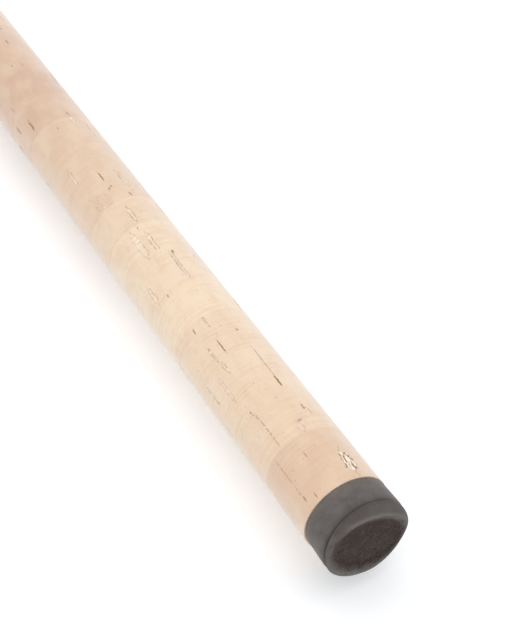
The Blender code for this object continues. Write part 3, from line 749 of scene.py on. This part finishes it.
# Hoods. Each is pressed from stainless sheet, deeper on the reel's side, where the reel's foot slides under
# it, with a rolled lip at its mouth. One is fixed to the seat. The other slides, pushed by the lock nut.
HOOD_SIDES = 96
HOOD_LIP, HOOD_BORE = 0.28, 9.2
HOOD_NECK, NECK_OFFSET = 10.05, 0.32
HOOD_MOUTH, MOUTH_OFFSET, MOUTH_INSIDE = 12.7, 2.4, 11.6
FLARE_FROM, FLARE_LENGTH, FLARE_STEPS = 0.3, 6.2, 14

# (place from its narrow end, radius, offset to the reel's side), along its outside and back inside it
hood = [(0.0, 9.75, 0.3), (0.1, 9.93, 0.3), (FLARE_FROM, HOOD_NECK, NECK_OFFSET)]
for share in evenly(0, 1, FLARE_STEPS)[1:]:
    radius = HOOD_NECK + (HOOD_MOUTH - HOOD_NECK) * sin(pi / 2 * share)
    offset = NECK_OFFSET + (MOUTH_OFFSET - NECK_OFFSET) * smooth(0, 1, share)
    hood.append((FLARE_FROM + FLARE_LENGTH * share, radius, offset))
for place, lip in ((9.0, 0), (17.9, 0), (18.2, 0.5), (18.5, 1), (19.1, 1), (19.4, 0.4)):
    hood.append((place, HOOD_MOUTH + lip * HOOD_LIP, MOUTH_OFFSET))
for place, radius in ((19.5, 12.4), (19.5, 11.85), (19.3, MOUTH_INSIDE), (6.0, MOUTH_INSIDE)):
    hood.append((place, radius, MOUTH_OFFSET))
hood += [(3.3, HOOD_BORE, 0), (0, HOOD_BORE, 0)]

steel, paint = start_finish("polished_steel")
brushing = paint.noise(16, 0.3, 3, 0.6)
smears = paint.noise(0.25, 0.35, 3)
paint.shade(
    Base_Color=paint.mix(brushing.rise(0.3, 0.7), rgb(160, 161, 165), rgb(176, 177, 181)),
    Metallic=1.0,
    Roughness=0.14 + 0.08 * brushing + 0.16 * smears,
    Normal=paint.bump(brushing * 0.001),
)


def rod_point(place, out, side=0.0):
    return Vector((BUTT_END + place * MM, AXIS.y + out * MM, AXIS.z + side * MM))


def lofted_hood(start, facing):
    """A sleeve through a circle at each of the hood's points, from its narrow end's place."""
    bm = bmesh.new()
    along, radius, offset = hood[0]
    here = rod_point(start + facing * along, offset)
    lie = Matrix.Translation(here) @ Matrix.Rotation(pi / 2, 4, "Y")
    bmesh.ops.create_circle(bm, segments=HOOD_SIDES, radius=radius * MM, matrix=lie)
    rim = bm.edges[:]
    for along, following, offset in hood[1:] + hood[:1]:
        made = bmesh.ops.extrude_edge_only(bm, edges=rim)["geom"]
        verts = {item for item in made if isinstance(item, bmesh.types.BMVert)}
        edges = [item for item in made if isinstance(item, bmesh.types.BMEdge)]
        wider = following / radius
        bmesh.ops.scale(bm, vec=(1, wider, wider), space=Matrix.Translation(-here), verts=list(verts))
        there = rod_point(start + facing * along, offset)
        bmesh.ops.translate(bm, vec=there - here, verts=list(verts))
        rim = [edge for edge in edges if verts.issuperset(edge.verts)]
        radius, here = following, there
    return closed(bm)


for node, facing, body in (("fixed_hood", 1, "butt_section"), ("sliding_hood", -1, "sliding_hood")):
    start, end, _ = span(node)
    pressing = lofted_hood(start if facing > 0 else end, facing)
    add_piece(f"{node}_pressing", pressing, steel, body, "steel", node)

# Lock nut. A sleeve moulded in the seat's nylon, threaded inside, that screws along the seat and pushes the
# sliding hood. Twenty-four rounded ribs give the fingers a hold between two plain bands.
NUT_SIDES, NUT_ROWS, ROWS_FROM = 192, 18, 0.7
# the power is under 1, which rounds the ribs and sharpens the grooves between them
NUT_RIBS, RIB_DEPTH, RIB_POWER = 24, 0.55, 0.6
# the ribs rise from each plain band over its last stretch
NUT_EDGE, NUT_BAND, RIB_RISE = 0.6, 1.5, 0.5

start, end, radius = span("lock_nut")
front, back = rounded_tube(start, end, radius - RIB_DEPTH, HOOD_BORE, NUT_EDGE)
rows = [(place, radius) for place in evenly(start + ROWS_FROM, end - ROWS_FROM, NUT_ROWS)]
nut = turned(front + rows + back, NUT_SIDES)
for vert in nut.verts:
    place, out, side, reach = off_axis(vert.co)
    if reach > radius - NEAR:
        rib = abs(cos(NUT_RIBS / 2 * atan2(side, out))) ** RIB_POWER
        rib *= within(start + NUT_BAND, end - NUT_BAND, RIB_RISE, place)
        new = (radius - RIB_DEPTH * (1 - rib)) / reach
        set_off_axis(vert, out * new, side * new)
add_piece("lock_nut_moulding", nut, nylon, "lock_nut", "black_nylon", "lock_nut")

# Front grip. Five more cork rings, glued face to face round the blank and sanded as one, with a soft taper
# down to the winding check.
FRONT_TONES = (0.24, 0.45, 0.32, 0.6, 0.4)
FRONT_END_RADIUS, FRONT_SEED = 6.9, 40
front_start, _, _ = span("front_cork_ring_1")
front_end = span(f"front_cork_ring_{len(FRONT_TONES)}")[1] + CAD_GAP


def front_radius(place):
    return GRIP_RADIUS + (FRONT_END_RADIUS - GRIP_RADIUS) * smooth(front_start, front_end, place)


for number, tone in enumerate(FRONT_TONES, 1):
    node = f"front_cork_ring_{number}"
    add_cork_ring(f"front_cork_{number}", node, tone, front_radius, FRONT_SEED + number)

# Winding check. A small cone turned from aluminium and anodised like the trim ring. It is pushed down the
# blank and glued, to close the front of the grip.
CHECK_TAPER, CHECK_EDGE = 1, 0.3
# how far its bore clears the blank
CHECK_FIT = 0.05
# (place, drop) at a small step turned round it
CHECK_STEP = ((1, 0.25), (1.15, 0.5))

start, end, radius = span("winding_check")
bore = blank_radius(start) + CHECK_FIT
front, back = rounded_tube(start, end, radius, bore, CHECK_EDGE, CHECK_TAPER)
front += [(start + along, radius - drop) for along, drop in CHECK_STEP]
cone = turned(front + back, LATHE_SIDES)
add_piece("winding_check_turned", cone, anodised, "butt_section", "dark_aluminium", "winding_check")

# Hook keeper. A bent steel wire, its two feet bound to the blank with thread under clear epoxy. The same
# binding, with a few turns of metallic thread near its ends, is used on the ferrules and on every guide.
KEEPER_WIRE, KEEPER_LOOP, LOOP_STEPS = 0.5, 2.9, 12
# its feet end this far inside the CAD wire's
TOE_INSET = 0.7
WRAP_SIDES, WRAP_ROW, THREAD_TURN = 64, 0.2, 0.3
# a binding's top and thin edge over the blank, its underside below the blank's surface, its sloping ends
WRAP_HEIGHT, WRAP_EDGE, WRAP_SUNK, EPOXY_RUNOUT = 0.55, 0.04, 0.1, 1.0
# over a foot: its slopes along and beside it, its level share of the foot's width, and how thick it is there
SWELL_RUN, SWELL_BESIDE, SWELL_TOP, SWELL_COVER = 1.8, 1.3, 0.6, 0.3


def bent_wire(points, radius):
    """A round wire through these points, its bends rounded off."""
    curve = bpy.data.curves.new("wire", "CURVE")
    curve.dimensions = "3D"
    curve.bevel_depth = radius * MM
    curve.bevel_resolution = 4
    curve.use_fill_caps = True
    spline = curve.splines.new("NURBS" if len(points) > 2 else "POLY")
    spline.points.add(len(points) - 1)
    for point, place in zip(spline.points, points):
        point.co = (*place, 1)
    spline.order_u = 3
    spline.use_endpoint_u = True
    spline.resolution_u = 8
    former = bpy.data.objects.new("wire", curve)
    mesh = bpy.data.meshes.new_from_object(former)
    bpy.data.objects.remove(former)
    return mesh


def welded(*meshes):
    """One bmesh of several finished meshes or bmeshes."""
    bm = bmesh.new()
    for shape in meshes:
        mesh = as_mesh("shape", shape) if isinstance(shape, bmesh.types.BMesh) else shape
        bm.from_mesh(mesh)
        bpy.data.meshes.remove(mesh)
    return closed(bm)


start, end, _ = span("hook_keeper")
keeper = (start + end) / 2
keeper_toe = (end - start) / 2 - TOE_INSET
keeper_lie = blank_radius(keeper) + KEEPER_WIRE
arch = [
    rod_point(keeper - KEEPER_LOOP * cos(t), keeper_lie + KEEPER_LOOP * sin(t))
    for t in evenly(0, pi, LOOP_STEPS)
]
feet = [rod_point(keeper + end, keeper_lie) for end in (-keeper_toe, keeper_toe)]
keeper_wire = bent_wire([feet[0], *arch, feet[1]], KEEPER_WIRE)
add_piece("hook_keeper_wire", welded(keeper_wire), steel, "butt_section", "steel", "hook_keeper")

binding, paint = start_finish("wrap_thread")
from_end = paint.noted("from_end")
turns = paint.places().part("X") * (1 / THREAD_TURN)
strand = abs(turns.math("FRACT") - 0.5).rise(0.5, 0.1)
trim_band = from_end.rise(1.5, 1.6) * from_end.rise(2.7, 2.6)
ripple = paint.noise(0.25, 0.4)
plain_thread = paint.mix(strand, rgb(20, 16, 16), rgb(62, 47, 44))
metallic_thread = paint.mix(strand, rgb(110, 80, 40), rgb(205, 165, 96))
paint.shade(
    Base_Color=paint.mix(trim_band, plain_thread, metallic_thread),
    Metallic=trim_band * 0.7,
    Roughness=0.3,
    Coat_Weight=1.0,
    Coat_Roughness=0.03,
    Normal=paint.bump(strand * 0.012 + ripple * 0.06),
)


def add_wrap(node, body, foot=None):
    """A binding on the blank, swelled over a foot where one lies under it: (from, to, half width, top)."""
    start, end, _ = span(node)
    outline = []
    for place in evenly(start, end, round((end - start) / WRAP_ROW)):
        rise = within(start + EPOXY_RUNOUT, end - EPOXY_RUNOUT, EPOXY_RUNOUT, place)
        outline.append((place, blank_radius(place) + WRAP_EDGE + WRAP_HEIGHT * rise**0.5))
    outline += [(place, blank_radius(place) - WRAP_SUNK) for place in (end, start)]
    sleeve = turned(outline, WRAP_SIDES)
    if foot:
        foot_from, foot_to, half, top = foot
        for vert in sleeve.verts:
            place, out, side, reach = off_axis(vert.co)
            if out <= 0 or reach < blank_radius(place):
                continue
            over = within(foot_from + SWELL_COVER, foot_to - SWELL_COVER, SWELL_RUN, place)
            over *= smooth(half + SWELL_BESIDE, half * SWELL_TOP, abs(side))
            swell = max(0, (top + SWELL_COVER - out) * over)
            set_off_axis(vert, out + swell, side)
    piece = add_piece(node.replace("wrap", "binding"), sleeve, binding, body, "wrap_thread", node)
    places = np.array([(vertex.co.x - BUTT_END) / MM for vertex in piece.data.vertices])
    note(piece.data, "from_end", np.minimum(places - start, end - places))


for number, (foot_from, foot_to) in enumerate(((-keeper_toe, -KEEPER_LOOP), (KEEPER_LOOP, keeper_toe)), 1):
    foot = (keeper + foot_from, keeper + foot_to, KEEPER_WIRE, keeper_lie + KEEPER_WIRE)
    add_wrap(f"hook_keeper_wrap_{number}", "butt_section", foot)

# Ferrule wraps. A binding of the same thread and epoxy round each socket's mouth, which keeps the graphite
# from splitting when the socket is pushed on.
for number in (2, 3, 4):
    add_wrap(f"ferrule_wrap_{number}", SECTION_BODIES[number - 1])

# Guides. A polished ceramic ring, pressed into a ring of steel wire that stands on welded wire legs. The two
# front legs end in one flat foot. The two largest guides have a second foot behind. All are bound on.
RING_SIDES, WIRE_SIDES = 96, 16
# each ring grows and each frame shrinks by this, to meet across the gap that the CAD keeps
PRESS_FIT = 0.11
# sizes that grow with a ring's: at nothing, and for each mm of it
RING_WALL, RING_HALF_WIDTH, FRAME_WIRE = (0.76, 0.048), (0.6, 0.035), (0.45, 0.0175)
FOOT_LENGTH, FOOT_HALF_WIDTH = (6.5, 0.15), (0.75, 0.02)
RING_POWER = 0.8
FOOT_THICKNESS, FOOT_LIFT, FOOT_EDGE = 0.6, 0.1, 0.15
# how thick and how wide a foot still is at its toe
TOE_SHARES = (0.35, 0.6)
# how far round from the frame's lowest point a front leg leaves it
LEG_LEAVES = radians(62)
# shares: of the frame's wire, of the ring's height, and of that for the third leg of a guide with one foot
LEG_WIRE, LANDING, THIRD_LANDING = 0.75, 0.55, 0.8
# how far down a leg its bend starts, its tail along the blank, and half the gap between two legs
LEG_BEND, LEG_TAIL, LEG_GAP = 0.8, 3, 0.2
GUIDE_BODIES = ("second_section", "third_section", "third_section", "tip_section", "tip_section")

ceramic, paint = start_finish("ring_ceramic")
clouding = paint.noise(0.8, 0.8)
paint.shade(
    Base_Color=paint.mix(clouding, rgb(58, 58, 61), rgb(70, 70, 74)),
    Roughness=0.1 + 0.08 * clouding,
    Coat_Weight=0.5,
    Coat_Roughness=0.03,
)


def ring_outline(middle, half_width, radius, half_wall, power=1.0):
    """The section of a ring as (place, radius) points: round, or squarer where the power is under 1."""
    outline = []
    for turn in evenly(0, 2 * pi, WIRE_SIDES)[:-1]:
        across, up = sin(turn), cos(turn)
        place = middle + half_width * copysign(abs(across) ** power, across)
        outline.append((place, radius + half_wall * copysign(abs(up) ** power, up)))
    return outline


def ring_measures(node):
    """A CAD ring's place along the rod, its centre's height and its outer size."""
    low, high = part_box(node)
    place, height, _, _ = off_axis((low + high) / 2)
    return place, height, (high.z - low.z) / MM


def by_size(size, growth):
    least, rate = growth
    return least + rate * size


def ring_and_frame(place, height, size):
    """A ceramic ring and the wire frame round it, each as a bmesh, with the frame's radius and wire."""
    wall = by_size(size, RING_WALL)
    wire = by_size(size, FRAME_WIRE)
    frame_radius = size / 2 + CAD_GAP + wire
    ring_radius = (size - wall) / 2 + PRESS_FIT
    half_width = by_size(size, RING_HALF_WIDTH)
    ceramic_section = ring_outline(place, half_width, ring_radius, wall / 2 + PRESS_FIT, RING_POWER)
    wire_section = ring_outline(place, wire, frame_radius - PRESS_FIT, wire)
    centre = rod_point(place, height)
    ring, held = (turned(section, RING_SIDES, centre) for section in (ceramic_section, wire_section))
    return ring, held, frame_radius, wire


def on_ring(place, height, radius, turn):
    """A point on a ring across the rod, this far round from its lowest point."""
    return rod_point(place, height - radius * cos(turn), radius * sin(turn))


def flat_foot(heel, toe, half, top):
    """A foot hammered flat, thinner and narrower towards its toe."""
    bm = bmesh.new()
    middle = rod_point((heel + toe) / 2, top - FOOT_THICKNESS / 2)
    size = Matrix.Diagonal((abs(toe - heel) * MM, FOOT_THICKNESS * MM, 2 * half * MM, 1))
    bmesh.ops.create_cube(bm, size=1, matrix=Matrix.Translation(middle) @ size)
    at_toe = [vert for vert in bm.verts if abs(off_axis(vert.co)[0] - toe) < NEAR]
    toe_place = Matrix.Translation(-rod_point(toe, top - FOOT_THICKNESS))
    bmesh.ops.scale(bm, vec=(1, *TOE_SHARES), space=toe_place, verts=at_toe)
    bevel = {"offset": FOOT_EDGE * MM, "segments": 3, "profile": 0.5, "affect": "EDGES", "material": -1}
    bmesh.ops.bevel(bm, geom=bm.edges[:], **bevel)
    return bm


for number, body in enumerate(GUIDE_BODIES, 1):
    place, height, size = ring_measures(f"guide_{number}_ring")
    ring, held, frame_radius, wire = ring_and_frame(place, height, size)
    has_two_feet = f"guide_{number}_wrap_2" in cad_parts
    leg = LEG_WIRE * wire
    landing = LANDING * height
    lie = blank_radius(place + landing) + leg
    shapes = [held]
    for hand in (-1, 1, 0):
        facing, share = 1, 1
        if hand == 0:
            facing, share = (-1, 1) if has_two_feet else (1, THIRD_LANDING)
        lands = place + facing * share * landing
        leaves = on_ring(place, height, frame_radius, hand * LEG_LEAVES)
        ends = (lands, lands + facing * LEG_TAIL)
        knee, tail = (rod_point(end, lie, hand * (leg + LEG_GAP)) for end in ends)
        shapes.append(bent_wire([leaves, leaves.lerp(knee, LEG_BEND), knee, tail], leg))
    front_half = max(by_size(size, FOOT_HALF_WIDTH), 2 * leg + LEG_GAP)
    for foot_number, facing in enumerate((1, -1) if has_two_feet else (1,), 1):
        heel = place + facing * landing
        toe = heel + facing * by_size(size, FOOT_LENGTH)
        top = blank_radius(heel) + FOOT_THICKNESS + FOOT_LIFT
        half = front_half if facing > 0 else leg + LEG_GAP
        shapes.append(flat_foot(heel, toe, half, top))
        add_wrap(f"guide_{number}_wrap_{foot_number}", body, (*sorted((heel, toe)), half, top))
    add_piece(f"guide_{number}_wirework", welded(*shapes), steel, body, "steel", f"guide_{number}_frame")
    add_piece(f"guide_{number}_ceramic", ring, ceramic, body, "ceramic", f"guide_{number}_ring")

# Tip-top. A steel tube glued over the blank's tip. The last ring's frame is brazed to its end, and held from
# behind by two wire struts.
TIP_TUBE = 12
TIP_END = BLANKS[-1][-1][0]
TUBE_WALL, TUBE_FIT, TUBE_EDGE = 0.6, 0.1, 0.2
# the tube's rounded end: (place from the ring's, share of its radius)
TUBE_DOME = ((0.3, 0), (0.2, 0.35), (-0.1, 0.8), (-0.6, 1))
# how far round from their lowest points a strut leaves the frame and lands on the tube, and how far along it
STRUT_LEAVES, STRUT_LANDS, STRUT_REACH = radians(80), radians(129), 0.8

place, height, size = ring_measures("tip_top_ring")
ring, held, frame_radius, wire = ring_and_frame(place, height, size)
bore = blank_radius(TIP_END - TIP_TUBE) + TUBE_FIT
outer = bore + TUBE_WALL
mouth = place - TIP_TUBE
tube_outline = [(place + along, share * outer) for along, share in TUBE_DOME]
tube_outline += [(mouth + TUBE_EDGE, outer), (mouth, outer - TUBE_EDGE), (mouth, bore)]
tube_outline += [(TIP_END + TUBE_FIT, bore), (TIP_END + TUBE_FIT, 0)]
shapes = [held, turned(tube_outline, WRAP_SIDES)]
for hand in (-1, 1):
    leaves = on_ring(place, height, frame_radius, hand * STRUT_LEAVES)
    lands = on_ring(place - STRUT_REACH * TIP_TUBE, 0, outer, hand * STRUT_LANDS)
    shapes.append(bent_wire([leaves, lands], LEG_WIRE * wire))
add_piece("tip_top_wirework", welded(*shapes), steel, "tip_section", "steel", "tip_top_frame")
add_piece("tip_top_ceramic", ring, ceramic, "tip_section", "ceramic", "tip_top_ring")

# The table and the light. A white table, one long soft box over the rod and a white room round it. The
# camera looks down over the butt cap and along the grip.
TABLE_REACH = 30
KEY_SIZE = (4.0, 1.6)
KEY_PLACE = Vector((0.3, -0.35, 2.4))
KEY_POWER = 14.4
ROOM_LIGHT = 0.88
# the table as light meets it, and as the camera sees it, where it also glows
TABLE_WHITE = (0.93, 0.93, 0.93, 1)
SEEN_WHITE = (0.885, 0.91, 0.935, 1)
TABLE_GLOW = 0.26
LENS = 79.7
CAMERA_PLACE = (-139.75, 101.2, 216.2)
LOOK = Vector((0.645, -0.357, -0.6768))


def seen_directly(paint):
    """1 where the camera looks, straight on or by way of metal or glass, and 0 for light on the rod."""
    kinds = ("Camera", "Glossy", "Transmission")
    rays = [paint.node("LightPath", output=f"Is {kind} Ray") for kind in kinds]
    return (rays[0] + rays[1] + rays[2]).math("MINIMUM", 1)


table_white, paint = start_finish("table_white")
is_seen = seen_directly(paint)
paint.shade(
    Base_Color=paint.mix(is_seen, TABLE_WHITE, SEEN_WHITE),
    Roughness=0.9,
    Specular_IOR_Level=0.1,
    Emission_Color=is_seen,
    Emission_Strength=TABLE_GLOW,
)
bm = bmesh.new()
bmesh.ops.create_grid(bm, x_segments=1, y_segments=1, size=TABLE_REACH)
table = placed("table", as_mesh("table", bm, table_white))

key = bpy.data.lights.new("soft_box", "AREA")
key.shape = "RECTANGLE"
key.size, key.size_y = KEY_SIZE
key.energy = KEY_POWER
key_light = placed("soft_box", key)
key_light.location = KEY_PLACE
key_light.rotation_euler = (-KEY_PLACE).to_track_quat("-Z", "Y").to_euler()

room = bpy.data.worlds.new("white_room")
room.use_nodes = True
bpy.context.scene.world = room
paint = Value(room.node_tree)
room_strength = ROOM_LIGHT + (1 - ROOM_LIGHT) * seen_directly(paint)
paint.fill(room.node_tree.nodes["Background"], {"Color": (1, 1, 1, 1), "Strength": room_strength})

lens = bpy.data.cameras.new("camera")
lens.lens = LENS
lens.clip_start = 0.01
camera = placed("camera", lens)
camera.location = rod_point(*CAMERA_PLACE)
camera.rotation_euler = LOOK.to_track_quat("-Z", "Y").to_euler()
bpy.context.scene.camera = camera
bpy.context.scene.view_settings.view_transform = "Standard"
